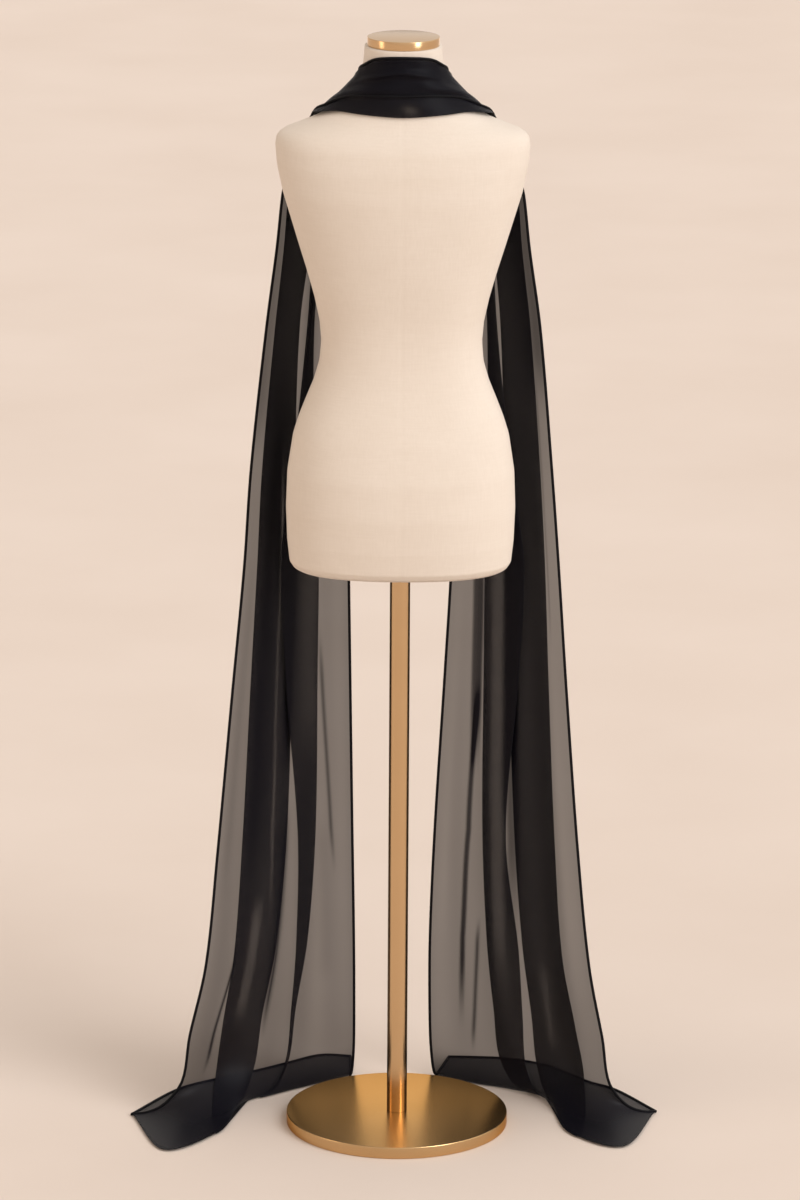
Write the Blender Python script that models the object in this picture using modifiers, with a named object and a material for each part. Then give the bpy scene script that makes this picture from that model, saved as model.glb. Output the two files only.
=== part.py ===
"""A long chiffon scarf laid round the nape of a limbless dress form on a round brass stand.

The form's back faces -Y. The scarf lies in flat pleats round the back of the neck, passes over
both shoulders and falls in front of the chest to the floor, where each end turns back under
itself. The frame's origin is the centre of the base disc's underside, with +Z up. All sizes are
in metres.
"""

import math
from collections import namedtuple

import bmesh
import bpy
from mathutils import Vector

# The stand.
BASE_RADIUS = 0.165
BASE_THICK = 0.018
BASE_EDGE = 0.0015
POLE_RADIUS = 0.015
CAP_RADIUS = 0.052
CAP_EDGE = 0.0008
CAP_TOP = 1.645

# The form's padded body and neck, whose sections are the rows of FORM below.
FORM_POINTS = 40
FORM_SQUARENESS = 2.3
SEAT_GAP = 0.0003

# The scarf.
CLOTH_WALL = 0.0010
CLOTH_LIFT = 0.0017
SEAM_GAP = 0.0009
END_THICK = 0.0024
END_CLEARANCE = 0.0013
PANEL_POINTS = 3
LAST_PANEL_POINTS = 6
ROW_STEP = 0.016
FALL_ROWS = 24
FALL_CLOSENESS = 0.75

Form = namedtuple("Form", "height half_width back front")
FORM = [
    Form(0.860, 0.1500, 0.088, 0.092),
    Form(0.864, 0.1570, 0.096, 0.100),
    Form(0.872, 0.1620, 0.102, 0.105),
    Form(0.905, 0.1655, 0.108, 0.108),
    Form(0.953, 0.1672, 0.112, 0.108),
    Form(1.007, 0.1653, 0.110, 0.104),
    Form(1.061, 0.1570, 0.100, 0.096),
    Form(1.088, 0.1485, 0.093, 0.090),
    Form(1.115, 0.1380, 0.085, 0.086),
    Form(1.142, 0.1270, 0.079, 0.083),
    Form(1.170, 0.1190, 0.075, 0.083),
    Form(1.200, 0.1165, 0.074, 0.085),
    Form(1.230, 0.1190, 0.076, 0.092),
    Form(1.265, 0.1265, 0.081, 0.105),
    Form(1.302, 0.1368, 0.087, 0.120),
    Form(1.340, 0.1485, 0.093, 0.128),
    Form(1.380, 0.1605, 0.098, 0.122),
    Form(1.420, 0.1725, 0.101, 0.107),
    Form(1.460, 0.1810, 0.099, 0.091),
    Form(1.490, 0.1835, 0.093, 0.078),
    Form(1.502, 0.1810, 0.087, 0.071),
    Form(1.510, 0.1735, 0.082, 0.067),
    Form(1.518, 0.1525, 0.077, 0.063),
    Form(1.528, 0.1270, 0.072, 0.060),
    Form(1.541, 0.1030, 0.067, 0.058),
    Form(1.559, 0.0830, 0.062, 0.0565),
    Form(1.585, 0.0645, 0.0590, 0.0565),
    Form(1.608, 0.0575, 0.0560, 0.0555),
    Form(1.632, 0.0555, 0.0555, 0.0555),
]

# Where the scarf lies on the form. A turn is counted in degrees from the nape round to the throat.
# The inner edge is the one nearer the neck, and the pitch is the distance between two layers.
Laid = namedtuple("Laid", "inner_turn inner_height outer_turn outer_height pitch")
LAID = [
    Laid(0, 1.6235, 0, 1.5385, 0.0017),
    Laid(38, 1.6203, 40, 1.5405, 0.0017),
    Laid(68, 1.6070, 68, 1.5405, 0.0016),
    Laid(92, 1.5970, 88, 1.5310, 0.0016),
    Laid(105, 1.5900, 103, 1.5235, 0.0016),
    Laid(118, 1.5740, 111, 1.5060, 0.0017),
    Laid(134, 1.5400, 112, 1.4750, 0.0020),
    Laid(144, 1.4850, 109, 1.4360, 0.0025),
]
LAID_STEPS = 4

# Where it hangs free, as seen from above: an inner, a middle and an outer point at each height.
Hung = namedtuple("Hung", "height inner_x inner_y middle_y outer_x outer_y pitch")
LEFT_HUNG = [
    Hung(1.400, 0.074, 0.119, 0.102, 0.1725, 0.056, 0.0032),
    Hung(1.320, 0.077, 0.127, 0.107, 0.1810, 0.056, 0.0038),
    Hung(1.200, 0.080, 0.131, 0.104, 0.1965, 0.050, 0.0045),
    Hung(0.992, 0.0785, 0.138, 0.101, 0.2190, 0.040, 0.0050),
    Hung(0.846, 0.0770, 0.146, 0.102, 0.2290, 0.030, 0.0050),
    Hung(0.657, 0.0740, 0.157, 0.103, 0.2465, 0.018, 0.0050),
    Hung(0.412, 0.0700, 0.171, 0.105, 0.2685, 0.008, 0.0050),
    Hung(0.240, 0.0670, 0.182, 0.106, 0.2857, 0.000, 0.0045),
    Hung(0.130, 0.0660, 0.187, 0.106, 0.3100, -0.002, 0.0042),
    Hung(0.045, 0.0665, 0.192, 0.098, 0.3280, -0.004, 0.0036),
]
RIGHT_HUNG = [
    Hung(1.400, 0.074, 0.119, 0.102, 0.1745, 0.056, 0.0032),
    Hung(1.320, 0.077, 0.127, 0.107, 0.1840, 0.056, 0.0038),
    Hung(1.200, 0.080, 0.131, 0.104, 0.2015, 0.050, 0.0045),
    Hung(0.992, 0.0785, 0.138, 0.101, 0.2210, 0.042, 0.0050),
    Hung(0.846, 0.0770, 0.146, 0.103, 0.2330, 0.034, 0.0050),
    Hung(0.657, 0.0680, 0.157, 0.105, 0.2470, 0.024, 0.0050),
    Hung(0.412, 0.0550, 0.171, 0.110, 0.2670, 0.012, 0.0050),
    Hung(0.240, 0.0490, 0.182, 0.114, 0.2855, 0.006, 0.0045),
    Hung(0.130, 0.0490, 0.187, 0.117, 0.3065, 0.002, 0.0042),
    Hung(0.045, 0.0520, 0.193, 0.112, 0.3245, 0.000, 0.0036),
]

# Where it meets the floor: the line it touches first, and the line of the end hem behind that.
FLOOR_PITCH = 0.0030
FLOOR_OUTWARD = (-0.64, 0.77, 0)
LEFT_TOUCH = [
    (0.0715, 0.196), (0.126, 0.153), (0.180, 0.111), (0.234, 0.058),
    (0.268, -0.066), (0.340, -0.137), (0.394, 0.010),
]
LEFT_HEM = [
    (0.072, 0.284), (0.119, 0.287), (0.170, 0.249), (0.213, 0.216),
    (0.277, 0.174), (0.335, 0.124), (0.398, 0.016),
]
RIGHT_TOUCH = [
    (0.0600, 0.199), (0.116, 0.163), (0.174, 0.136), (0.226, 0.092),
    (0.254, -0.052), (0.334, -0.114), (0.386, 0.036),
]
RIGHT_HEM = [
    (0.080, 0.284), (0.125, 0.282), (0.178, 0.274), (0.238, 0.240),
    (0.290, 0.176), (0.334, 0.136), (0.390, 0.044),
]

# Where each fold lies, as a share of the way from the inner to the outer edge. The cloth runs out
# to the first fold, back to the second, out to the third, back to the fourth and on to the hem.
Folds = namedtuple("Folds", "first second third fourth hem")
LAID_FOLDS = [
    Folds(0.60, 0.06, 1.00, 0.03, 0.64),
    Folds(0.60, 0.06, 1.00, 0.04, 0.65),
    Folds(0.60, 0.08, 1.00, 0.08, 0.70),
    Folds(0.60, 0.14, 0.98, 0.16, 0.84),
    Folds(0.59, 0.17, 0.97, 0.21, 0.96),
    Folds(0.58, 0.21, 0.95, 0.27, 1.00),
    Folds(0.56, 0.26, 0.93, 0.36, 1.00),
    Folds(0.55, 0.31, 0.92, 0.45, 1.00),
]
LEFT_FOLDS = [
    Folds(0.54, 0.34, 0.91, 0.50, 1.0),
    Folds(0.52, 0.37, 0.895, 0.54, 1.0),
    Folds(0.50, 0.41, 0.88, 0.59, 1.0),
    Folds(0.57, 0.35, 0.87, 0.55, 1.0),
    Folds(0.64, 0.29, 0.86, 0.515, 1.0),
    Folds(0.55, 0.28, 0.83, 0.50, 1.0),
    Folds(0.41, 0.275, 0.80, 0.49, 1.0),
    Folds(0.395, 0.315, 0.795, 0.545, 1.0),
    Folds(0.39, 0.36, 0.785, 0.59, 1.0),
    Folds(0.40, 0.38, 0.77, 0.57, 1.0),
    Folds(0.41, 0.39, 0.68, 0.55, 1.0),
]
RIGHT_FOLDS = [
    Folds(0.54, 0.34, 0.91, 0.50, 1.0),
    Folds(0.52, 0.36, 0.89, 0.52, 1.0),
    Folds(0.49, 0.37, 0.87, 0.53, 1.0),
    Folds(0.58, 0.34, 0.865, 0.52, 1.0),
    Folds(0.66, 0.31, 0.856, 0.506, 1.0),
    Folds(0.60, 0.32, 0.84, 0.53, 1.0),
    Folds(0.50, 0.335, 0.828, 0.56, 1.0),
    Folds(0.56, 0.36, 0.825, 0.585, 1.0),
    Folds(0.545, 0.375, 0.845, 0.595, 1.0),
    Folds(0.53, 0.39, 0.84, 0.59, 1.0),
    Folds(0.49, 0.41, 0.70, 0.56, 1.0),
]

CREAM_LINEN = ("cream linen", (0.86, 0.77, 0.67), 0.85, 0.0)
SATIN_BRASS = ("satin brass", (0.45, 0.27, 0.10), 0.32, 1.0)
BLACK_CHIFFON = ("black chiffon", (0.012, 0.011, 0.013), 0.6, 0.0)


def clear_scene():
    for old in list(bpy.data.objects):
        bpy.data.objects.remove(old)


def new_collection(name):
    collection = bpy.data.collections.new(name)
    bpy.context.scene.collection.children.link(collection)
    return collection


def material(look):
    """The material of this name, made once, with its colour, roughness and metallic value."""
    name, colour, roughness, metallic = look
    found = bpy.data.materials.get(name)
    if found:
        return found
    made = bpy.data.materials.new(name)
    made.use_nodes = True
    shader = made.node_tree.nodes["Principled BSDF"]
    shader.inputs["Base Color"].default_value = (*colour, 1.0)
    shader.inputs["Roughness"].default_value = roughness
    shader.inputs["Metallic"].default_value = metallic
    return made


def placed(obj, name, look, collection):
    """Names the object, gives it its material and moves it to the collection."""
    obj.name = name
    obj.data.name = name
    obj.data.materials.append(material(look))
    for old in list(obj.users_collection):
        old.objects.unlink(obj)
    collection.objects.link(obj)
    return obj


def disc(name, radius, low, high, edge, look, sides, collection):
    """An upright round piece from one height to another, with its rims rounded by edge."""
    bpy.ops.mesh.primitive_cylinder_add(
        vertices=sides, radius=radius, depth=high - low, location=(0, 0, (low + high) / 2)
    )
    made = placed(bpy.context.object, name, look, collection)
    if edge:
        rims = made.modifiers.new("rounded rims", "BEVEL")
        rims.width = edge
        rims.segments = 2
        rims.limit_method = "ANGLE"
        rims.angle_limit = math.radians(60)
    made.data.shade_smooth()
    made.data.set_sharp_from_angle(angle=math.radians(35))
    return made


def loft(name, rows, look, collection, close_round=False):
    """A mesh of quads through rows of points, each row a ring where close_round is set."""
    shape = bmesh.new()
    made = [[shape.verts.new(point) for point in row] for row in rows]
    count = len(rows[0])
    spans = count if close_round else count - 1
    for lower, upper in zip(made, made[1:]):
        for i in range(spans):
            j = (i + 1) % count
            shape.faces.new((lower[i], lower[j], upper[j], upper[i]))
    if close_round:
        shape.faces.new(list(reversed(made[0])))
        shape.faces.new(made[-1])
    bmesh.ops.recalc_face_normals(shape, faces=shape.faces)
    mesh = bpy.data.meshes.new(name)
    shape.to_mesh(mesh)
    shape.free()
    mesh.shade_smooth()
    obj = bpy.data.objects.new(name, mesh)
    collection.objects.link(obj)
    return placed(obj, name, look, collection)


def mixed(first, second, share):
    """The row between two table rows, column by column."""
    return type(first)(*[a + (b - a) * share for a, b in zip(first, second)])


def form_size(height):
    """The form's half width, back depth and front depth at this height."""
    inside = [row for row in FORM if row.height <= height]
    lower = inside[-1] if inside else FORM[0]
    upper = FORM[min(len(inside), len(FORM) - 1)]
    if upper.height <= lower.height:
        return lower
    return mixed(lower, upper, (height - lower.height) / (upper.height - lower.height))


def form_point(turn, height):
    """A point on the form, where turn 0 is the nape, 90 the -X shoulder and 180 the throat."""
    size = form_size(height)
    side, ahead = math.sin(math.radians(turn)), -math.cos(math.radians(turn))
    depth = size.front if ahead > 0 else size.back
    reach = (abs(side) / size.half_width) ** FORM_SQUARENESS + (abs(ahead) / depth) ** FORM_SQUARENESS
    radius = reach ** (-1 / FORM_SQUARENESS)
    return Vector((-side * radius, ahead * radius, height))


def form_outward(turn, height):
    """The direction straight out of the form there."""
    turn_step, height_step = 2.0, 0.006
    across = form_point(turn + turn_step, height) - form_point(turn - turn_step, height)
    upward = form_point(turn, height + height_step) - form_point(turn, height - height_step)
    outward = across.cross(upward).normalized()
    return outward if outward.dot(form_point(turn, height) * Vector((1, 1, 0))) > 0 else -outward


def build_form(collection):
    """The padded body and neck, one closed loft with a flat underside and a flat neck top."""
    rings = []
    for row in FORM:
        turns = [360 * i / FORM_POINTS for i in range(FORM_POINTS)]
        rings.append([form_point(turn, row.height) for turn in turns])
    loft("form_body", rings, CREAM_LINEN, collection, close_round=True)


def build_stand(collection):
    disc("base_disc", BASE_RADIUS, 0, BASE_THICK, BASE_EDGE, SATIN_BRASS, 56, collection)
    pole_foot, pole_head = BASE_THICK + SEAT_GAP, FORM[0].height - SEAT_GAP
    disc("pole", POLE_RADIUS, pole_foot, pole_head, 0, SATIN_BRASS, 28, collection)
    cap_seat = FORM[-1].height + SEAT_GAP
    disc("neck_cap", CAP_RADIUS, cap_seat, CAP_TOP, CAP_EDGE, SATIN_BRASS, 44, collection)


def through(points, share):
    """The point at this share of a smooth curve through evenly counted points."""
    place = share * (len(points) - 1)
    index = min(max(int(place), 0), len(points) - 2)
    t = place - index
    start, end = points[index], points[index + 1]
    before = points[index - 1] if index else start * 2 - end
    after = points[index + 2] if index + 2 < len(points) else end * 2 - start
    leave, arrive = (end - before) / 2, (after - start) / 2
    return (
        start * (2 * t**3 - 3 * t**2 + 1) + leave * (t**3 - 2 * t**2 + t)
        + end * (3 * t**2 - 2 * t**3) + arrive * (t**3 - t**2)
    )


def folded_path(folds, width, pitch):
    """(share, level) of each point across the pleated cloth, from the inner hem to the outer one.

    Each fold is a round turn, half a pitch in radius, that takes the cloth up one level.
    """
    turn = pitch / 2 / width
    path = [(0.0, 0.0)]
    places = list(folds)[:-1]
    for level, place in enumerate(places):
        inward = place - turn if level % 2 == 0 else place + turn
        start = path[-1][0]
        for i in range(1, PANEL_POINTS):
            path.append((start + (inward - start) * i / PANEL_POINTS, float(level)))
        path += [(inward, float(level)), (place, level + 0.5), (inward, level + 1.0)]
    start, top = path[-1]
    for i in range(1, LAST_PANEL_POINTS + 1):
        path.append((start + (folds.hem - start) * i / LAST_PANEL_POINTS, top))
    return path


def laid_section(row, folds):
    """The cloth's section where it lies on the form, on the -X side."""
    inner = form_point(row.inner_turn, row.inner_height)
    outer = form_point(row.outer_turn, row.outer_height)
    points = []
    for share, level in folded_path(folds, (outer - inner).length, row.pitch):
        turn = row.inner_turn + (row.outer_turn - row.inner_turn) * share
        height = row.inner_height + (row.outer_height - row.inner_height) * share
        lift = CLOTH_LIFT + level * row.pitch
        points.append(form_point(turn, height) + form_outward(turn, height) * lift)
    return points


def hung_section(row, folds):
    """Its section where it hangs free, on the -X side. The layers lie one behind another in Y."""
    inner = Vector((-row.inner_x, row.inner_y, row.height))
    outer = Vector((-row.outer_x, row.outer_y, row.height))
    middle = Vector(((inner.x + outer.x) / 2, row.middle_y, row.height))
    path = folded_path(folds, (outer - inner).length, row.pitch)
    backed = Vector((0, row.pitch, 0))
    return [through([inner, middle, outer], share) + backed * level for share, level in path]


def touching_section(line, folds):
    """Its section along the line where it first touches the floor, on the -X side."""
    floor_top = END_THICK + END_CLEARANCE
    points = [Vector((-x, y, floor_top)) for x, y in line]
    width = sum((b - a).length for a, b in zip(points, points[1:]))
    backed = Vector(FLOOR_OUTWARD) * FLOOR_PITCH
    path = folded_path(folds, width, FLOOR_PITCH)
    return [through(points, share) + backed * level for share, level in path]


def laid_sections():
    """The sections on the form from the nape to the chest, closely spaced."""
    made = []
    for i in range(len(LAID) - 1):
        for step in range(LAID_STEPS):
            share = step / LAID_STEPS
            row = mixed(LAID[i], LAID[i + 1], share)
            made.append(laid_section(row, mixed(LAID_FOLDS[i], LAID_FOLDS[i + 1], share)))
    made.append(laid_section(LAID[-1], LAID_FOLDS[-1]))
    return made


def half_sections(hung, folds, touch):
    """The sections from the nape to the floor, on the -X side."""
    made = laid_sections()
    made += [hung_section(row, folds[i]) for i, row in enumerate(hung)]
    made.append(touching_section(touch, folds[-1]))
    return made


def mirrored(section):
    return [Vector((-point.x, point.y, point.z)) for point in section]


def distances(sections):
    """How far along the cloth each section lies, measured down its middle."""
    centres = [sum(section, Vector()) / len(section) for section in sections]
    found = [0.0]
    for a, b in zip(centres, centres[1:]):
        found.append(found[-1] + (b - a).length)
    return found


def section_at(sections, along, place):
    """The section at this distance along the cloth, on a smooth surface through the given ones."""
    index = max(i for i in range(len(along) - 1) if along[i] <= place or i == 0)
    span = along[index + 1] - along[index]
    t = (place - along[index]) / span
    made = []
    for k, start in enumerate(sections[index]):
        end = sections[index + 1][k]
        leave = arrive = end - start
        if index:
            whole = along[index + 1] - along[index - 1]
            leave = (end - sections[index - 1][k]) * span / whole
        if index + 2 < len(along):
            whole = along[index + 2] - along[index]
            arrive = (sections[index + 2][k] - start) * span / whole
        made.append(
            start * (2 * t**3 - 3 * t**2 + 1) + leave * (t**3 - 2 * t**2 + t)
            + end * (3 * t**2 - 2 * t**3) + arrive * (t**3 - t**2)
        )
    return made


def stretch(name, sections, along, start, end, count, closeness, collection):
    """One stretch of the scarf between two distances along it, a wall of even thickness.

    Its rows are evenly spaced at closeness 0, and closer together near both ends above that.
    """
    start += SEAM_GAP / 2
    end -= SEAM_GAP / 2
    rows = []
    for i in range(count + 1):
        share = i / count - closeness * math.sin(2 * math.pi * i / count) / (2 * math.pi)
        rows.append(section_at(sections, along, start + (end - start) * share))
    made = loft(name, rows, BLACK_CHIFFON, collection)
    wall = made.modifiers.new("wall", "SOLIDIFY")
    wall.thickness = CLOTH_WALL
    wall.offset = 0
    wall.use_even_offset = True
    return made


def floor_end(name, touch, hem, side, collection):
    """The end that lies on the floor behind the fall, as one flat sheet with its own outline."""
    steps = 16
    front = [through([Vector(p) for p in touch], i / steps) for i in range(steps + 1)]
    back = [through([Vector(p) for p in hem], i / steps) for i in range(steps + 1)]
    grow = 0.004
    middle = sum(front + back, Vector((0, 0))) / (2 * steps + 2)
    outline = [p + (p - middle).normalized() * grow for p in front]
    outline += [p + (p - middle).normalized() * grow for p in reversed(back[:-1])]
    curve = bpy.data.curves.new(name, "CURVE")
    curve.dimensions = "2D"
    curve.fill_mode = "BOTH"
    curve.extrude = END_THICK / 2
    spline = curve.splines.new("POLY")
    spline.points.add(len(outline) - 1)
    for point, flat in zip(spline.points, outline):
        point.co = (side * flat.x, flat.y, 0, 1)
    spline.use_cyclic_u = True
    obj = bpy.data.objects.new(name, curve)
    obj.location.z = END_THICK / 2
    collection.objects.link(obj)
    return placed(obj, name, BLACK_CHIFFON, collection)


def build_scarf(collection):
    left = half_sections(LEFT_HUNG, LEFT_FOLDS, LEFT_TOUCH)
    right = half_sections(RIGHT_HUNG, RIGHT_FOLDS, RIGHT_TOUCH)
    sections = [mirrored(section) for section in reversed(right)] + left[1:]
    along = distances(sections)
    nape = len(right) - 1
    wrap_reach, shoulder_reach = 2 * LAID_STEPS, (len(LAID) - 1) * LAID_STEPS
    marks = {
        "right_floor": along[0],
        "right_chest": along[nape - shoulder_reach],
        "right_neck": along[nape - wrap_reach],
        "left_neck": along[nape + wrap_reach],
        "left_chest": along[nape + shoulder_reach],
        "left_floor": along[-1],
    }
    pieces = [
        ("scarf_nape_wrap", "right_neck", "left_neck"),
        ("scarf_left_shoulder", "left_neck", "left_chest"),
        ("scarf_right_shoulder", "right_chest", "right_neck"),
    ]
    for name, start, end in pieces:
        count = round((marks[end] - marks[start]) / ROW_STEP)
        stretch(name, sections, along, marks[start], marks[end], count, 0, collection)
    falls = [
        ("scarf_left_fall", "left_chest", "left_floor"),
        ("scarf_right_fall", "right_floor", "right_chest"),
    ]
    for name, start, end in falls:
        span = (marks[start], marks[end])
        stretch(name, sections, along, *span, FALL_ROWS, FALL_CLOSENESS, collection)
    floor_end("scarf_left_end", LEFT_TOUCH, LEFT_HEM, -1, collection)
    floor_end("scarf_right_end", RIGHT_TOUCH, RIGHT_HEM, 1, collection)


def main():
    clear_scene()
    collection = new_collection("chiffon scarf on dress form")
    build_stand(collection)
    build_form(collection)
    build_scarf(collection)


main()
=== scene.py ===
# %% [markdown]
# # A chiffon scarf on a dress form
#
# The scarf is one long piece of black silk chiffon with a narrow rolled hem. It lies in flat
# pleats round the nape of a limbless dress form, passes over both shoulders and falls in front of
# the chest to the floor, where each end turns back under itself. The form is padded and covered
# with cream linen, and stands on a satin brass pole, base and neck cap.
#
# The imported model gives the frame: every piece below is made in its metres, with +Z up and the
# form's back towards -Y.

# %% Load the frame
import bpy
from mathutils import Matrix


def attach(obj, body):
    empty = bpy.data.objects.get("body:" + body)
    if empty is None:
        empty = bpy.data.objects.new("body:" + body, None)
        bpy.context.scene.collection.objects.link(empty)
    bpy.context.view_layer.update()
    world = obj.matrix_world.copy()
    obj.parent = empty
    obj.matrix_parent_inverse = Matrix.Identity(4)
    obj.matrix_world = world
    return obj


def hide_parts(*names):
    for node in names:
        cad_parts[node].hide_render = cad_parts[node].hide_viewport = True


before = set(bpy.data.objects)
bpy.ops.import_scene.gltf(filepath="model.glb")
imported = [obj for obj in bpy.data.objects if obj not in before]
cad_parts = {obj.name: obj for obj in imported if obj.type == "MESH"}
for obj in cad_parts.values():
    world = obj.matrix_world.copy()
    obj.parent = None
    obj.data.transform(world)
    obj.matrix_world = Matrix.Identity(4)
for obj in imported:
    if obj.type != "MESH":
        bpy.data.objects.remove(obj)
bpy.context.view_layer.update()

# %% Libraries
import math
from collections import namedtuple

import bmesh
import bpy
from mathutils import Euler, Matrix, Vector

# %% [markdown]
# ## Camera
#
# A long lens from well back and a little above keeps the pole and the falls nearly parallel. The
# roll is the small tilt of a camera held by hand. The camera comes first, because the finest
# detail that is worth making depends on how large the object stands in the frame.

# %% Camera
CAMERA_PLACE = (0.0, -8.75, 3.20)
CAMERA_DOWN = 15.28
CAMERA_ROLL = 0.3686
CAMERA_LENS = 185.73

camera_data = bpy.data.cameras.new("camera")
camera_data.lens = CAMERA_LENS
camera_data.clip_end = 200
camera = bpy.data.objects.new("camera", camera_data)
bpy.context.scene.collection.objects.link(camera)
camera.location = CAMERA_PLACE
aim = Euler((math.radians(90 - CAMERA_DOWN), 0, 0)).to_matrix()
camera.rotation_euler = (aim @ Matrix.Rotation(math.radians(CAMERA_ROLL), 3, "Z")).to_euler()
bpy.context.scene.camera = camera
print("camera at", CAMERA_PLACE, "with a lens of", CAMERA_LENS, "mm")

# %% [markdown]
# ## The form's body
#
# A dress form is a stuffed or moulded shell under a tight woven cover, so it has soft curves and
# no hard edge anywhere but at its cut neck and its underside. It could be sculpted, or lofted
# through sections. Sections are the plain choice, because the scarf has to lie on exactly the same
# surface: one function gives a point on the form, and both pieces use it. Each section is an oval
# that is a little squarer than an ellipse, with its own depth behind and in front.

# %% Sections of the form
FORM_SQUARENESS = 2.3
Form = namedtuple("Form", "height half_width back front")
FORM = [
    Form(0.860, 0.1500, 0.088, 0.092),
    Form(0.864, 0.1570, 0.096, 0.100),
    Form(0.872, 0.1620, 0.102, 0.105),
    Form(0.905, 0.1655, 0.108, 0.108),
    Form(0.953, 0.1672, 0.112, 0.108),
    Form(1.007, 0.1653, 0.110, 0.104),
    Form(1.061, 0.1570, 0.100, 0.096),
    Form(1.088, 0.1485, 0.093, 0.090),
    Form(1.115, 0.1380, 0.085, 0.086),
    Form(1.142, 0.1270, 0.079, 0.083),
    Form(1.170, 0.1190, 0.075, 0.083),
    Form(1.200, 0.1165, 0.074, 0.085),
    Form(1.230, 0.1190, 0.076, 0.092),
    Form(1.265, 0.1265, 0.081, 0.105),
    Form(1.302, 0.1368, 0.087, 0.120),
    Form(1.340, 0.1485, 0.093, 0.128),
    Form(1.380, 0.1605, 0.098, 0.122),
    Form(1.420, 0.1725, 0.101, 0.107),
    Form(1.460, 0.1810, 0.099, 0.091),
    Form(1.490, 0.1835, 0.093, 0.078),
    Form(1.502, 0.1810, 0.087, 0.071),
    Form(1.510, 0.1735, 0.082, 0.067),
    Form(1.518, 0.1525, 0.077, 0.063),
    Form(1.528, 0.1270, 0.072, 0.060),
    Form(1.541, 0.1030, 0.067, 0.058),
    Form(1.559, 0.0830, 0.062, 0.0565),
    Form(1.585, 0.0645, 0.0590, 0.0565),
    Form(1.608, 0.0575, 0.0560, 0.0555),
    Form(1.632, 0.0555, 0.0555, 0.0555),
]


def mixed(first, second, share):
    """The row between two table rows, column by column."""
    return type(first)(*[a + (b - a) * share for a, b in zip(first, second)])


def form_size(height):
    """The form's half width, back depth and front depth at this height."""
    inside = [row for row in FORM if row.height <= height]
    lower = inside[-1] if inside else FORM[0]
    upper = FORM[min(len(inside), len(FORM) - 1)]
    if upper.height <= lower.height:
        return lower
    return mixed(lower, upper, (height - lower.height) / (upper.height - lower.height))


def form_point(turn, height):
    """A point on the form, where turn 0 is the nape, 90 the -X shoulder and 180 the throat."""
    size = form_size(height)
    side, ahead = math.sin(math.radians(turn)), -math.cos(math.radians(turn))
    depth = size.front if ahead > 0 else size.back
    reach = (abs(side) / size.half_width) ** FORM_SQUARENESS + (abs(ahead) / depth) ** FORM_SQUARENESS
    radius = reach ** (-1 / FORM_SQUARENESS)
    return Vector((-side * radius, ahead * radius, height))


def form_outward(turn, height):
    """The direction straight out of the form there."""
    turn_step, height_step = 2.0, 0.006
    across = form_point(turn + turn_step, height) - form_point(turn - turn_step, height)
    upward = form_point(turn, height + height_step) - form_point(turn, height - height_step)
    outward = across.cross(upward).normalized()
    return outward if outward.dot(form_point(turn, height) * Vector((1, 1, 0))) > 0 else -outward


print("the form is", round(2 * max(row.half_width for row in FORM), 3), "m wide at its widest")

# %% Small helpers for pieces
MERGE_WITHIN = 0.00001


def new_piece(name, shape, slot, *stands_for):
    """Makes a smooth mesh object of a bmesh and puts it on the body; its slot is not used."""
    mesh = bpy.data.meshes.new(name)
    shape.to_mesh(mesh)
    shape.free()
    mesh.shade_smooth()
    piece = bpy.data.objects.new(name, mesh)
    bpy.context.scene.collection.objects.link(piece)
    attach(piece, "root")
    if stands_for:
        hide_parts(*stands_for)
    print(name, "has", len(mesh.polygons), "faces")
    return piece


def grid_step(vert, across, along):
    """The steps across and along at which this point of a new grid of size 1 is."""
    return round((vert.co.x + 1) / 2 * across), round((vert.co.y + 1) / 2 * along)


def shaped_grid(across, along, place):
    """A grid of quads whose point (i, j) is moved to place(i, j)."""
    shape = bmesh.new()
    bmesh.ops.create_grid(shape, x_segments=across, y_segments=along, size=1)
    for vert in shape.verts:
        vert.co = place(*grid_step(vert, across, along))
    return shape


# %% The form's linen cover
FORM_ROUND = 144
FORM_UP = 150
ROW_CROWDING = 0.7
SEAM_HALF_WIDTH = 0.0022
SEAM_DEPTH = 0.0004


def form_row_height(j):
    """Heights that are close together at both ends, where the cover turns in."""
    share = j / FORM_UP
    low, high = FORM[0].height, FORM[-1].height
    crowded = math.sin(2 * math.pi * share) / (2 * math.pi) * ROW_CROWDING
    return low + (high - low) * (share - crowded)


def cover_point(i, j):
    """A point of the cover, sunk a little along the seam down the middle of the back."""
    turn, height = 360 * i / FORM_ROUND, form_row_height(j)
    point = form_point(turn, height)
    if point.y < 0:
        sunk = SEAM_DEPTH * math.exp(-((point.x / SEAM_HALF_WIDTH) ** 2))
        point -= form_outward(turn, height) * sunk
    return point


cover = shaped_grid(FORM_ROUND, FORM_UP, cover_point)
bmesh.ops.remove_doubles(cover, verts=cover.verts, dist=MERGE_WITHIN)
rims = [edge for edge in cover.edges if edge.is_boundary]
bmesh.ops.holes_fill(cover, edges=rims, sides=0)
bmesh.ops.recalc_face_normals(cover, faces=cover.faces)
form_cover = new_piece("form_linen_cover", cover, "cream_linen", "form_body")

# %% [markdown]
# ## The stand
#
# The base and the neck cap are discs turned from plate and the pole is a tube. On a lathe each is
# a profile turned round the axis, so each is spun here from its profile, and its sharp rims are
# then bevelled as the turner's file breaks them. A rim that catches a thin bright line is what
# tells the eye that the metal is solid.

# %% Turned pieces
BASE_RADIUS, BASE_THICK, BASE_EDGE, BASE_SIDES = 0.165, 0.018, 0.0015, 192
POLE_RADIUS, POLE_SIDES = 0.015, 64
CAP_RADIUS, CAP_TOP, CAP_EDGE, CAP_SIDES = 0.052, 1.645, 0.0008, 128
SEAT_GAP = 0.0003

# Angles between faces, in radians: from which a rim is broken, and from which an edge looks sharp.
RIM_ANGLE, SHARP_ANGLE = 1.0, math.radians(40)


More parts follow.
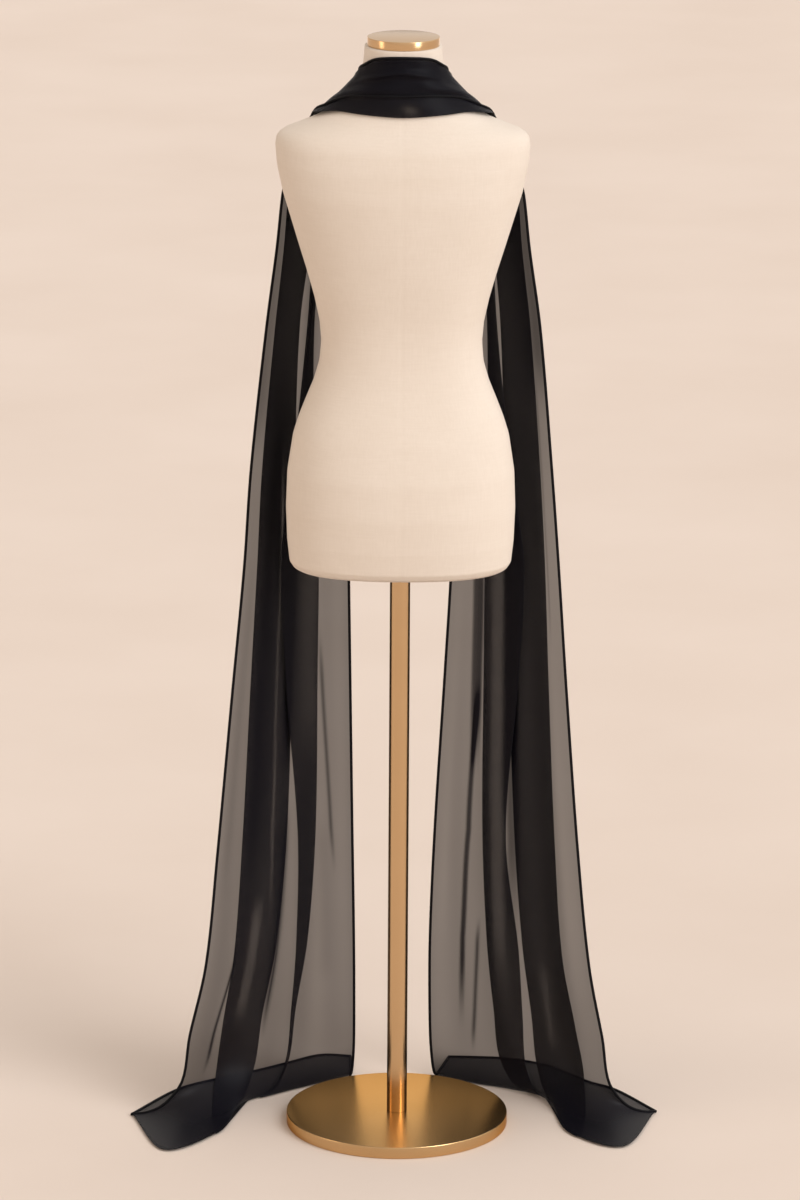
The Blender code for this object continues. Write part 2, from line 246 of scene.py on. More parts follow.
def turned(name, profile, sides, edge, *stands_for):
    """A round piece spun from its profile of (radius, height) points, with broken rims."""
    shape = bmesh.new()
    points = [shape.verts.new((radius, 0, height)) for radius, height in profile]
    line = [shape.edges.new(pair) for pair in zip(points, points[1:])]
    bmesh.ops.spin(
        shape, geom=points + line, cent=(0, 0, 0), axis=(0, 0, 1), angle=2 * math.pi,
        steps=sides, use_merge=True,
    )
    bmesh.ops.remove_doubles(shape, verts=shape.verts, dist=MERGE_WITHIN)
    bmesh.ops.recalc_face_normals(shape, faces=shape.faces)
    if edge:
        rims = [e for e in shape.edges if len(e.link_faces) == 2 and e.calc_face_angle() > RIM_ANGLE]
        bmesh.ops.bevel(
            shape, geom=rims, offset=edge, segments=4, profile=0.5, affect="EDGES", material=-1
        )
    piece = new_piece(name, shape, "satin_brass", *stands_for)
    piece.data.set_sharp_from_angle(angle=SHARP_ANGLE)
    return piece


def solid_disc(radius, low, high):
    """The profile of a solid disc between two heights."""
    return [(0, low), (radius, low), (radius, high), (0, high)]


base_profile = solid_disc(BASE_RADIUS, 0, BASE_THICK)
pole_profile = solid_disc(POLE_RADIUS, BASE_THICK + SEAT_GAP, FORM[0].height - SEAT_GAP)
cap_profile = solid_disc(CAP_RADIUS, FORM[-1].height + SEAT_GAP, CAP_TOP)
base = turned("base_plate", base_profile, BASE_SIDES, BASE_EDGE, "base_disc")
pole = turned("pole_tube", pole_profile, POLE_SIDES, 0, "pole")
cap = turned("cap_plate", cap_profile, CAP_SIDES, CAP_EDGE, "neck_cap")

# %% [markdown]
# ## The scarf's lie
#
# Silk chiffon is so thin and soft that it takes any fold its weight gives it. A simulation could
# drop it over the form, but the pleats of a scarf on show are laid in by hand and then hang still,
# so they are placed one by one here too. Across the scarf the cloth runs out to a first fold,
# back to a second, out to a third, back to a fourth and on to the outer hem: one layer at both
# sides and three or five between. Each row of the tables is one section across: where its two
# hems lie, how far apart the layers are, and where the folds fall between the hems.

# %% Where the scarf lies on the form
CLOTH_LIFT = 0.0017
Laid = namedtuple("Laid", "inner_turn inner_height outer_turn outer_height pitch")
LAID = [
    Laid(0, 1.6235, 0, 1.5385, 0.0008),
    Laid(38, 1.6203, 40, 1.5405, 0.0008),
    Laid(68, 1.6070, 68, 1.5405, 0.0008),
    Laid(92, 1.5970, 88, 1.5310, 0.0008),
    Laid(105, 1.5900, 103, 1.5235, 0.0008),
    Laid(118, 1.5740, 111, 1.5060, 0.0010),
    Laid(134, 1.5400, 112, 1.4750, 0.0014),
    Laid(144, 1.4850, 109, 1.4360, 0.0022),
]
LAID_STEPS = 4
print(len(LAID), "rows from the nape to one side of the chest")

# %% Where it hangs free, and where it meets the floor
Hung = namedtuple("Hung", "height inner_x inner_y middle_y outer_x outer_y pitch")
LEFT_HUNG = [
    Hung(1.400, 0.074, 0.119, 0.102, 0.1725, 0.056, 0.0032),
    Hung(1.320, 0.077, 0.127, 0.107, 0.1810, 0.056, 0.0038),
    Hung(1.200, 0.080, 0.131, 0.104, 0.1965, 0.050, 0.0045),
    Hung(0.992, 0.0785, 0.138, 0.101, 0.2190, 0.040, 0.0050),
    Hung(0.846, 0.0770, 0.146, 0.102, 0.2290, 0.030, 0.0050),
    Hung(0.657, 0.0740, 0.157, 0.103, 0.2465, 0.018, 0.0050),
    Hung(0.412, 0.0700, 0.171, 0.105, 0.2685, 0.008, 0.0050),
    Hung(0.240, 0.0670, 0.182, 0.106, 0.2857, 0.000, 0.0045),
    Hung(0.130, 0.0660, 0.187, 0.106, 0.3100, -0.002, 0.0042),
    Hung(0.045, 0.0665, 0.192, 0.098, 0.3280, -0.004, 0.0036),
]
RIGHT_HUNG = [
    Hung(1.400, 0.074, 0.119, 0.102, 0.1745, 0.056, 0.0032),
    Hung(1.320, 0.077, 0.127, 0.107, 0.1840, 0.056, 0.0038),
    Hung(1.200, 0.080, 0.131, 0.104, 0.2015, 0.050, 0.0045),
    Hung(0.992, 0.0785, 0.138, 0.101, 0.2210, 0.042, 0.0050),
    Hung(0.846, 0.0770, 0.146, 0.103, 0.2330, 0.034, 0.0050),
    Hung(0.657, 0.0680, 0.157, 0.105, 0.2470, 0.024, 0.0050),
    Hung(0.412, 0.0550, 0.171, 0.110, 0.2670, 0.012, 0.0050),
    Hung(0.240, 0.0490, 0.182, 0.114, 0.2855, 0.006, 0.0045),
    Hung(0.130, 0.0490, 0.187, 0.117, 0.3065, 0.002, 0.0042),
    Hung(0.045, 0.0520, 0.193, 0.112, 0.3245, 0.000, 0.0036),
]
FLOOR_PITCH = 0.0012
FLOOR_TOP = 0.0037
FLOOR_OUTWARD = (-0.64, 0.77, 0)
LEFT_TOUCH = [
    (0.0715, 0.196), (0.126, 0.153), (0.180, 0.111), (0.234, 0.058),
    (0.262, -0.062), (0.341, -0.141), (0.394, 0.010),
]
LEFT_HEM = [
    (0.072, 0.284), (0.119, 0.287), (0.170, 0.249), (0.213, 0.216),
    (0.277, 0.174), (0.335, 0.124), (0.398, 0.016),
]
RIGHT_TOUCH = [
    (0.0600, 0.199), (0.116, 0.163), (0.174, 0.136), (0.226, 0.092),
    (0.254, -0.052), (0.334, -0.114), (0.386, 0.036),
]
RIGHT_HEM = [
    (0.080, 0.284), (0.125, 0.282), (0.178, 0.274), (0.238, 0.240),
    (0.290, 0.176), (0.334, 0.136), (0.390, 0.044),
]
print(len(LEFT_HUNG) + len(RIGHT_HUNG), "rows hang free")

# %% Where the folds fall, as a share of the way from the inner hem to the outer one
Folds = namedtuple("Folds", "first second third fourth hem")
LAID_FOLDS = [
    Folds(0.60, 0.06, 1.00, 0.03, 0.64),
    Folds(0.60, 0.06, 1.00, 0.04, 0.65),
    Folds(0.60, 0.08, 1.00, 0.08, 0.70),
    Folds(0.60, 0.14, 0.98, 0.16, 0.84),
    Folds(0.59, 0.17, 0.97, 0.21, 0.96),
    Folds(0.58, 0.21, 0.95, 0.27, 1.00),
    Folds(0.56, 0.26, 0.93, 0.36, 1.00),
    Folds(0.55, 0.31, 0.92, 0.45, 1.00),
]
LEFT_FOLDS = [
    Folds(0.54, 0.34, 0.91, 0.50, 1.0),
    Folds(0.52, 0.37, 0.895, 0.54, 1.0),
    Folds(0.50, 0.41, 0.88, 0.59, 1.0),
    Folds(0.57, 0.35, 0.87, 0.55, 1.0),
    Folds(0.64, 0.29, 0.86, 0.515, 1.0),
    Folds(0.55, 0.28, 0.83, 0.50, 1.0),
    Folds(0.41, 0.275, 0.80, 0.49, 1.0),
    Folds(0.395, 0.315, 0.795, 0.530, 1.0),
    Folds(0.39, 0.36, 0.785, 0.565, 1.0),
    Folds(0.40, 0.38, 0.77, 0.575, 1.0),
    Folds(0.41, 0.39, 0.68, 0.55, 1.0),
]
RIGHT_FOLDS = [
    Folds(0.54, 0.34, 0.91, 0.50, 1.0),
    Folds(0.52, 0.36, 0.89, 0.52, 1.0),
    Folds(0.49, 0.37, 0.87, 0.53, 1.0),
    Folds(0.58, 0.34, 0.865, 0.52, 1.0),
    Folds(0.66, 0.31, 0.856, 0.506, 1.0),
    Folds(0.60, 0.32, 0.84, 0.53, 1.0),
    Folds(0.50, 0.335, 0.828, 0.56, 1.0),
    Folds(0.56, 0.36, 0.825, 0.585, 1.0),
    Folds(0.545, 0.375, 0.845, 0.595, 1.0),
    Folds(0.53, 0.39, 0.84, 0.59, 1.0),
    Folds(0.49, 0.41, 0.70, 0.56, 1.0),
]
print("folds for", len(LAID_FOLDS) + len(LEFT_FOLDS) + len(RIGHT_FOLDS), "rows")

# %% [markdown]
# ## Creases and ridges
#
# Between its folds chiffon is never flat. It hangs in long soft waves, and here and there it is
# bunched into a sharp crease. Both are moves of the cloth in depth, and where the cloth turns edge
# on its threads close up, so it lets less light through: a cover number goes with each crease and
# the material reads it. A negative cover is a place where the threads are drawn apart. Round the
# neck the pleats stand off the form in ridges that run along the scarf, and at both sides they
# bridge from the neck to the shoulder.

# %% Waves and creases of each fall
# A wave's count is across the scarf, and its phase moves by its lean with each metre of height.
Wave = namedtuple("Wave", "count phase lean depth cover")
LEFT_WAVES = [Wave(2.2, 0.4, 1.5, 0.0030, 0.018), Wave(5.3, 1.9, -2.7, 0.0012, 0.014)]
RIGHT_WAVES = [Wave(1.9, 2.6, -1.2, 0.0030, 0.018), Wave(4.7, 0.7, 3.3, 0.0012, 0.014)]

# Heights where the waves start and where they are full, and below which they die away.
WAVES_START, WAVES_FULL, WAVES_END = 1.35, 0.30, 0.10

# A crease runs from its share across at its top to its share at its foot. A high edge number
# makes it a pressed tuck with sharp sides, and 2 makes it a soft streak.
Crease = namedtuple("Crease", "top_share foot_share top foot width depth cover edge")
LEFT_CREASES = [
    Crease(0.272, 0.132, 0.740, 0.330, 0.0035, 0.0030, 0.160, 2),
    Crease(0.235, 0.180, 0.450, 0.150, 0.0120, 0.0020, 0.030, 2),
    Crease(0.765, 0.885, 0.260, 0.050, 0.0036, 0.0040, 0.210, 2),
    Crease(0.490, 0.555, 0.470, 0.080, 0.0050, 0.0030, 0.200, 2),
    Crease(0.665, 0.690, 0.330, 0.110, 0.0080, 0.0000, -0.16, 4),
    Crease(0.905, 0.930, 0.900, 0.300, 0.0070, 0.0015, 0.025, 2),
    Crease(0.375, 0.355, 1.100, 0.480, 0.0140, 0.0000, -0.10, 4),
    Crease(0.535, 0.520, 1.100, 0.480, 0.0090, 0.0000, 0.12, 4),
    Crease(0.662, 0.578, 1.050, 0.220, 0.0012, 0.0012, -0.32, 2),
    Crease(0.755, 0.690, 1.200, 0.300, 0.0180, 0.0000, 0.08, 4),
    Crease(0.960, 0.970, 1.500, 0.980, 0.0200, 0.0000, 0.10, 2),
    Crease(0.460, 0.460, 1.400, 1.020, 0.0120, 0.0015, 0.09, 2),
    Crease(0.430, 0.480, 1.290, 1.110, 0.0018, 0.0015, 0.17, 2),
]
RIGHT_CREASES = [
    Crease(0.235, 0.275, 1.080, 0.490, 0.0095, 0.0035, 0.200, 8),
    Crease(0.280, 0.180, 0.660, 0.080, 0.0050, 0.0040, 0.210, 4),
    Crease(0.315, 0.240, 0.280, 0.050, 0.0035, 0.0030, 0.190, 2),
    Crease(0.090, 0.080, 0.900, 0.200, 0.0090, 0.0015, -0.02, 2),
    Crease(0.430, 0.440, 1.050, 0.080, 0.0120, 0.0000, -0.15, 4),
    Crease(0.550, 0.545, 1.080, 0.220, 0.0110, 0.0000, 0.16, 4),
    Crease(0.690, 0.680, 0.230, 0.070, 0.0060, 0.0000, -0.10, 2),
    Crease(0.930, 0.930, 1.100, 0.100, 0.0180, 0.0000, -0.05, 4),
    Crease(0.940, 0.960, 1.600, 1.060, 0.0240, 0.0000, 0.15, 2),
    Crease(0.880, 0.885, 1.150, 0.700, 0.0016, 0.0012, 0.10, 2),
    Crease(0.400, 0.400, 1.400, 1.020, 0.0120, 0.0015, 0.08, 2),
]
CREASE_EASE = 0.22

# Painted shade: near and on the floor the cloth hides more of what lies behind it, which darkens
# it as the contact shade where it lies on the floor does.
FLOOR_SHADE_COVER, FLOOR_SHADE_BELOW, FLOOR_SHADE_FULL = 0.16, 0.050, 0.008


def fade(place, first, last, ease):
    """0 at both places, and a soft rise to 1 within this share of the way from each."""
    share = min(first - place, place - last) / (first - last) / ease
    share = min(max(share, 0), 1)
    return share * share * (3 - 2 * share)


def crease_at(creases, waves, share, height, width):
    """How far back the cloth is moved, and its cover, at this share across and this height."""
    grown = min(max((WAVES_START - height) / (WAVES_START - WAVES_FULL), 0), 1)
    grown *= min(height / WAVES_END, 1)
    # Painted shade: the cover rises towards the floor, where the cloth lies in its own contact shade.
    floor_shade = (FLOOR_SHADE_BELOW - height) / (FLOOR_SHADE_BELOW - FLOOR_SHADE_FULL)
    back, cover = 0.0, FLOOR_SHADE_COVER * min(max(floor_shade, 0), 1)
    for wave in waves:
        angle = 2 * math.pi * wave.count * share + wave.phase + wave.lean * height
        back += wave.depth * grown * math.sin(angle)
        cover += wave.cover * grown * math.cos(angle)
    for crease in creases:
        strength = fade(height, crease.top, crease.foot, CREASE_EASE)
        if strength:
            down = (crease.top - height) / (crease.top - crease.foot)
            centre = crease.top_share + (crease.foot_share - crease.top_share) * down
            near = math.exp(-((abs(share - centre) * width / crease.width) ** crease.edge))
            back += crease.depth * strength * near
            cover += crease.cover * strength * near
    return back, cover


print(len(LEFT_CREASES) + len(RIGHT_CREASES), "creases besides the waves")

# %% Ridges of the wrap
# Turns are counted from the nape, with the -X side negative. Each ridge has its share across at the
# nape and at a shoulder.
SHOULDER_TURN = 90
Ridge = namedtuple("Ridge", "nape_share side_share from_turn to_turn width lift cover")
RIDGES = [
    Ridge(0.24, 0.44, -80, 65, 0.0030, 0.0062, 0.0),
    Ridge(0.50, 0.66, -100, 10, 0.0055, 0.0065, 0.0),
    Ridge(0.42, 0.62, 10, 100, 0.0050, 0.0056, 0.0),
    Ridge(0.82, 0.86, -70, 70, 0.0045, 0.0040, 0.0),
    Ridge(0.70, 0.72, -130, -58, 0.0280, 0.0085, 0.0),
    Ridge(0.70, 0.72, 58, 130, 0.0280, 0.0085, 0.0),
    Ridge(0.85, 1.05, -9, 27, 0.0050, 0.0000, -0.36),
]
RIDGE_EASE = 0.45


def ridge_at(share, turn, width):
    """How far the wrap is lifted, and its cover, at this share across and this signed turn."""
    lift, cover = 0.0, 0.0
    for ridge in RIDGES:
        strength = fade(turn, ridge.to_turn, ridge.from_turn, RIDGE_EASE)
        if strength:
            slant = ridge.side_share - ridge.nape_share
            centre = ridge.nape_share + slant * abs(turn) / SHOULDER_TURN
            near = math.exp(-(((share - centre) * width / ridge.width) ** 2))
            lift += ridge.lift * strength * near
            cover += ridge.cover * strength * near
    return lift, cover


print(len(RIDGES), "ridges round the neck")

# %% [markdown]
# ## From a few sections to the whole cloth
#
# A draped cloth runs smoothly from one fold to the next and from its top to its foot. Placing every
# point of it by hand would be endless work, and straight stretches between few sections would show
# a kink at each. So smooth curves fill in the rest: first down the tables, then across each section
# round its folds, and last along the scarf.

# %% Smooth curves through a few places
def smooth_step(start, leave, end, arrive, t):
    """The place at t between start and end, on a curve with these slopes at its two ends."""
    return (
        start * (2 * t**3 - 3 * t**2 + 1) + leave * (t**3 - 2 * t**2 + t)
        + end * (3 * t**2 - 2 * t**3) + arrive * (t**3 - t**2)
    )


def eased(before, start, end, after, t):
    """The same, with the slopes that the neighbours on both sides give."""
    return smooth_step(start, (end - before) * 0.5, end, (after - start) * 0.5, t)


def through(points, share):
    """The point at this share of a smooth curve through evenly counted points."""
    place = share * (len(points) - 1)
    index = min(max(int(place), 0), len(points) - 2)
    start, end = points[index], points[index + 1]
    before = points[index - 1] if index else start * 2 - end
    after = points[index + 2] if index + 2 < len(points) else end * 2 - start
    return eased(before, start, end, after, place - index)


def smoothed(table, index, share):
    """The row between two table rows, with each column on a smooth curve down the table.

    Before its first row a table goes on as its own mirror image: a turn changes its sign there,
    and everything else doesn't.
    """
    columns = []
    for column in zip(*table):
        start, end = column[index], column[index + 1]
        before = column[index - 1] if index else (end if start else -end)
        after = column[index + 2] if index + 2 < len(column) else 2 * end - start
        columns.append(eased(before, start, end, after, share))
    return type(table[0])(*columns)


def lengths_along(points):
    """The distance of each point from the first, along the line of points."""
    found = [0.0]
    for first, second in zip(points, points[1:]):
        found.append(found[-1] + (second - first).length)
    return found


print("halfway through 0, 1, 4 and 9 is", through([0, 1, 4, 9], 0.5))

# %% The layers of one section
# Steps along each panel and round each fold. A fold takes up half its pitch, but no more than this
# share of the way between the first two folds.
PANEL_STEPS = (54, 12, 30, 12, 54)
TURN_STEPS = 6
TURN_SHARE = 0.4
Section = namedtuple("Section", "points shares")


def folded_path(folds, width, pitch):
    """(share, level) of each point across, with a round turn of half a pitch at each fold."""
    turn = min(pitch / 2 / width, TURN_SHARE * abs(folds.first - folds.second))
    path = [(0.0, 0.0)]
    for level, place in enumerate(list(folds)[:-1]):
        outward = 1 if level % 2 == 0 else -1
        steps = PANEL_STEPS[level]
        inward = place - turn * outward
        start = path[-1][0]
        for i in range(1, steps):
            path.append((start + (inward - start) * i / steps, float(level)))
        for i in range(TURN_STEPS + 1):
            angle = math.pi * i / TURN_STEPS
            risen = (1 - math.cos(angle)) / 2
            path.append((inward + turn * outward * math.sin(angle), level + risen))
    start, top = path[-1]
    steps = PANEL_STEPS[-1]
    for i in range(1, steps + 1):
        path.append((start + (folds.hem - start) * i / steps, top))
    return path


print(len(folded_path(LAID_FOLDS[0], 0.1, 0.002)), "points across the scarf")

# %% Sections on the form, in the air and on the floor
def laid_section(row, folds):
    """The scarf's section where it lies on the form, on the -X side."""
    inner = form_point(row.inner_turn, row.inner_height)
    outer = form_point(row.outer_turn, row.outer_height)
    path = folded_path(folds, (outer - inner).length, row.pitch)
    points = []
    for share, level in path:
        turn = row.inner_turn + (row.outer_turn - row.inner_turn) * share
        height = row.inner_height + (row.outer_height - row.inner_height) * share
        lift = CLOTH_LIFT + level * row.pitch
        points.append(form_point(turn, height) + form_outward(turn, height) * lift)
    return Section(points, [share for share, level in path])


def hung_section(row, folds):
    """Its section where it hangs free, on the -X side, its layers one behind another in Y."""
    inner = Vector((-row.inner_x, row.inner_y, row.height))
    outer = Vector((-row.outer_x, row.outer_y, row.height))
    middle = Vector(((inner.x + outer.x) / 2, row.middle_y, row.height))
    path = folded_path(folds, (outer - inner).length, row.pitch)
    backed = Vector((0, row.pitch, 0))
    points = [through([inner, middle, outer], share) + backed * level for share, level in path]
    return Section(points, [share for share, level in path])


def touching_section(line, folds):
    """Its section along the line where it first touches the floor, on the -X side."""
    points = [Vector((-x, y, FLOOR_TOP)) for x, y in line]
    outward = Vector(FLOOR_OUTWARD) * FLOOR_PITCH
    path = folded_path(folds, lengths_along(points)[-1], FLOOR_PITCH)
    points = [through(points, share) + outward * level for share, level in path]
    return Section(points, [share for share, level in path])


def half_sections(hung, folds, touch):
    """The sections from the nape to the floor, on the -X side."""
    made = []
    for i in range(len(LAID) - 1):
        for step in range(LAID_STEPS):
            share = step / LAID_STEPS
            made.append(laid_section(smoothed(LAID, i, share), smoothed(LAID_FOLDS, i, share)))
    made.append(laid_section(LAID[-1], LAID_FOLDS[-1]))
    made += [hung_section(row, folds[i]) for i, row in enumerate(hung)]
    made.append(touching_section(touch, folds[-1]))
    return made


print(len(half_sections(LEFT_HUNG, LEFT_FOLDS, LEFT_TOUCH)), "sections in each half")

# %% Rows between the sections
LANDING_SLIDE = 1.6
Row = namedtuple("Row", "points covers")


def middle_lengths(strips):
    """How far along the cloth each section or row lies, measured down its middle."""
    return lengths_along([sum(strip.points, Vector()) / len(strip.points) for strip in strips])


def section_between(sections, along, index, t, landing):
    """The section at share t between two given ones, on a smooth surface through them all.

    The last one is on the floor, and the cloth comes to it level and sliding outward.
    """
    span = along[index + 1] - along[index]
    start, end = sections[index], sections[index + 1]
    points, shares = [], []
    for k, first in enumerate(start.points):
        second = end.points[k]
        leave = arrive = second - first
        if index:
            before = sections[index - 1].points[k]
            leave = (second - before) * (span / (along[index + 1] - along[index - 1]))
        if landing:
            arrive = Vector((arrive.x, arrive.y, 0)) * LANDING_SLIDE
        else:
            after = sections[index + 2].points[k]
            arrive = (after - first) * (span / (along[index + 2] - along[index]))
        points.append(smooth_step(first, leave, second, arrive, t))
        shares.append(start.shares[k] + (end.shares[k] - start.shares[k]) * t)
    return Section(points, shares)


def creased(section, creases, waves, side):
    """A row of the cloth with its waves, creases and ridges in it."""
    width = (section.points[-1] - section.points[0]).length
    points, covers = [], []
    for point, share in zip(section.points, section.shares):
        turn = math.degrees(math.atan2(-point.x, -point.y))
        lift, bared = ridge_at(share, turn * side, width)
        back, cover = crease_at(creases, waves, share, point.z, width)
        outward = Vector((point.x, point.y, 0)).normalized()
        points.append(point + outward * lift - Vector((0, back, 0)))
        covers.append(cover + bared)
    return Row(points, covers)


print("the cloth comes to the floor at", LANDING_SLIDE, "times its last step outward")

# %% Rows turned under on the floor
UNDER_ROWS = 20
UNDER_ROLL = 0.0013
UNDER_HEIGHT = 0.0018
UNDER_PITCH = 0.0004


def turned_under(touching, hem_line):
    """The rows that turn under where the cloth touches the floor and lie flat to the end hem."""
    hem = [Vector((-x, y, UNDER_HEIGHT)) for x, y in hem_line]
    across = lengths_along(touching)
    ends = [through(hem, length / across[-1]) for length in across]
    top_level, last = len(PANEL_STEPS) - 1, len(touching) - 1
    levels = [k * top_level / last for k in range(len(touching))]
    rows = []
    for step in range(1, UNDER_ROWS + 1):
        points = []
        for point, end, level in zip(touching, ends, levels):
            outward = Vector((point.x - end.x, point.y - end.y, 0)).normalized()
            under = Vector((point.x, point.y, UNDER_HEIGHT + UNDER_PITCH * level))
            if step == 1:
                made = (point + under) / 2 + outward * UNDER_ROLL
            else:
                back = (step - 2) / (UNDER_ROWS - 2)
                made = under + (end - under) * back
            points.append(made)
        rows.append(Row(points, [0.0] * len(points)))
    return rows


print(UNDER_ROWS, "rows turn under at each end")

# %% All rows along the scarf
LAID_ROW_STEP = 0.005
HUNG_ROW_STEP = 0.012
LANDING_ROWS = 26


def half_rows(hung, folds, touch, hem_line, creases, waves, side):
    """All rows from the nape to the end hem, on the -X side."""
    sections = half_sections(hung, folds, touch)
    along = middle_lengths(sections)
    laid_count = (len(LAID) - 1) * LAID_STEPS
    rows = []
    for index in range(len(sections) - 1):
        landing = index == len(sections) - 2
        step = LAID_ROW_STEP if index < laid_count else HUNG_ROW_STEP
        span = along[index + 1] - along[index]
        count = LANDING_ROWS if landing else max(round(span / step), 1)
        for i in range(count):
            section = section_between(sections, along, index, i / count, landing)
            rows.append(creased(section, creases, waves, side))
    touching = sections[-1].points
    rows.append(Row(touching, [0.0] * len(touching)))
    return rows + turned_under(touching, hem_line)


def mirrored(row):
    """The same row on the +X side."""
    return Row([Vector((-point.x, point.y, point.z)) for point in row.points], row.covers)


left_rows = half_rows(LEFT_HUNG, LEFT_FOLDS, LEFT_TOUCH, LEFT_HEM, LEFT_CREASES, LEFT_WAVES, -1)
right_rows = half_rows(
    RIGHT_HUNG, RIGHT_FOLDS, RIGHT_TOUCH, RIGHT_HEM, RIGHT_CREASES, RIGHT_WAVES, 1
)
rows = [mirrored(row) for row in reversed(right_rows)] + left_rows[1:]
print(len(rows), "rows along the scarf")

# %% [markdown]
# ## The chiffon
#
# The cloth is about 0.15 mm thick, far thinner than anything the eye could see as a wall, so it is
# one open sheet. A grid of quads is moved row by row onto the sections. Its UV map is in metres
# across and along the cut cloth, so that the weave follows the thread through every fold, and the
# cover of the creases is kept as an attribute of its points.

# %% The cloth
def cloth_sheet(name, rows, slot, *stands_for):
    """A sheet of cloth through rows of points, with its UV map in metres."""
    across, along = len(rows[0].points) - 1, len(rows) - 1
    shape = bmesh.new()
    bmesh.ops.create_grid(shape, x_segments=across, y_segments=along, size=1)
    cover = shape.verts.layers.float.new("cover")
    cloth_map = shape.loops.layers.uv.new("cloth")
    widths = [lengths_along(row.points) for row in rows]
    lengths = middle_lengths(rows)
    for vert in shape.verts:
        i, j = grid_step(vert, across, along)
        vert.co = rows[j].points[i]
        vert[cover] = rows[j].covers[i]
        for loop in vert.link_loops:
            loop[cloth_map].uv = (widths[j][i], lengths[j])
    widest = max(width[-1] for width in widths)
    print("the cloth is up to", round(widest, 3), "m wide and", round(lengths[-1], 3), "m long")
    return new_piece(name, shape, slot, *stands_for)


scarf = cloth_sheet(
    "scarf_chiffon", rows, "black_chiffon",
    "scarf_nape_wrap", "scarf_left_shoulder", "scarf_right_shoulder",
    "scarf_left_fall", "scarf_right_fall", "scarf_left_end", "scarf_right_end",
)

# %% [markdown]
# ## The rolled hem
#
# The edge of chiffon is rolled between the fingers and whipped down by hand, which makes a narrow
# round cord of cloth, several layers thick and so much darker than the sheet. A curve along all
# four edges with a round bevel gives exactly that, and it is then turned into a mesh.

# %% The hem all round
HEM_RADIUS = 0.0021


def hem_cord(name, line, radius, slot):
    """A closed round cord along a line of points, as a mesh."""
    curve = bpy.data.curves.new(name, "CURVE")
    curve.dimensions = "3D"
    curve.bevel_depth = radius
    curve.bevel_resolution = 2
    spline = curve.splines.new("POLY")
    spline.points.add(len(line) - 1)
    for point, place in zip(spline.points, line):
        point.co = (*place, 1)
    spline.use_cyclic_u = True
    made = bpy.data.objects.new(name, curve)
    mesh = bpy.data.meshes.new_from_object(made)
    bpy.data.objects.remove(made)
    bpy.data.curves.remove(curve)
    shape = bmesh.new()
    shape.from_mesh(mesh)
    bpy.data.meshes.remove(mesh)
    return new_piece(name, shape, slot)


inner_edge = [row.points[0] for row in rows]
outer_edge = [row.points[-1] for row in rows]
loop_line = inner_edge + rows[-1].points[1:-1] + outer_edge[::-1] + rows[0].points[-2:0:-1]
hem = hem_cord("scarf_rolled_hem", loop_line, HEM_RADIUS, "black_chiffon")

# %% [markdown]
# ## Materials
#
# Colours are given as the hex values a screen shows, and one function turns them to the linear
# numbers that light is added up in. Another adds a node with its settings and links. Each pattern
# is sized in millimetres, from the size of a thread, a stitch or a scratch.

# %% Helpers for materials
MM = 0.001


def linear(hex_colour):
    """A screen's hex colour as linear red, green and blue, and a full alpha."""
    channels = [int(hex_colour[i : i + 2], 16) / 255 for i in (1, 3, 5)]
    return (*[c / 12.92 if c <= 0.04045 else ((c + 0.055) / 1.055) ** 2.4 for c in channels], 1.0)


def add(tree, kind, inputs=None, **settings):
    """A new node with its settings, its input values and the sockets linked into it."""
    made = tree.nodes.new(kind)
    for name, value in settings.items():
        setattr(made, name, value)
    for name, value in (inputs or {}).items():
        if isinstance(value, bpy.types.NodeSocket):
            tree.links.new(value, made.inputs[name])
        else:
            made.inputs[name].default_value = value
    return made


def new_material(name):
    """A new material, its tree, and the output that is all the tree holds so far."""
    made = bpy.data.materials.new(name)
    made.use_nodes = True
    made.node_tree.nodes.clear()
    return made, made.node_tree, add(made.node_tree, "ShaderNodeOutputMaterial")


def dress(material, *pieces):
    """Gives the pieces this material and no other."""
    for piece in pieces:
        piece.data.materials.clear()
        piece.data.materials.append(material)
    print(material.name, "on", ", ".join(piece.name for piece in pieces))


# %% [markdown]
# ## Silk chiffon, plain woven of hard-twisted thread
#
# Chiffon is sheer because the gaps between its threads are as wide as the threads, and its twisted
# thread gives no shine but a faint bloom where the light grazes it. The gaps could be cut out by a
# pattern, but they are far too fine to show, so one number says how much a flat layer hides, and
# layers that lie behind each other darken by themselves. Real threads are 0.25 mm apart; they are
# drawn 1.2 mm apart, the finest that shows.

# %% Silk chiffon
CHIFFON_THREAD = 1.2 * MM
CHIFFON_ALPHA = 0.765
THREAD_STRETCH = 12

# Two thread noises that are added together lie mostly in this range.
WOVEN_RANGE = {"From Min": 0.6, "From Max": 1.4}


def threads(tree, place, spacing, running):
    """Noise drawn out along the axes that are named, for uneven thread that runs that way."""
    stretch = [1 / THREAD_STRETCH if axis in running else 1 for axis in "XYZ"]
    drawn = add(tree, "ShaderNodeMapping", {"Vector": place, "Scale": stretch})
    noise = {"Vector": drawn.outputs["Vector"], "Scale": 1 / spacing, "Detail": 1.0}
    return add(tree, "ShaderNodeTexNoise", noise).outputs["Fac"]


chiffon, tree, output = new_material("black silk chiffon")
cloth_place = add(tree, "ShaderNodeUVMap", uv_map="cloth").outputs["UV"]
weft = threads(tree, cloth_place, CHIFFON_THREAD, "X")
warp = threads(tree, cloth_place, CHIFFON_THREAD, "Y")
woven = add(tree, "ShaderNodeMath", {0: weft, 1: warp}, operation="ADD")
shade = add(
    tree, "ShaderNodeMapRange",
    {"Value": woven.outputs[0], **WOVEN_RANGE, "To Min": 0.0, "To Max": 1.0},
)
dye = add(
    tree, "ShaderNodeMixRGB",
    {"Fac": shade.outputs["Result"], "Color1": linear("#09080E"), "Color2": linear("#100E16")},
)
relief = add(
    tree, "ShaderNodeBump",
    {"Height": woven.outputs[0], "Strength": 0.2, "Distance": 0.2 * MM},
)
drawn_up = add(tree, "ShaderNodeAttribute", attribute_name="cover").outputs["Fac"]
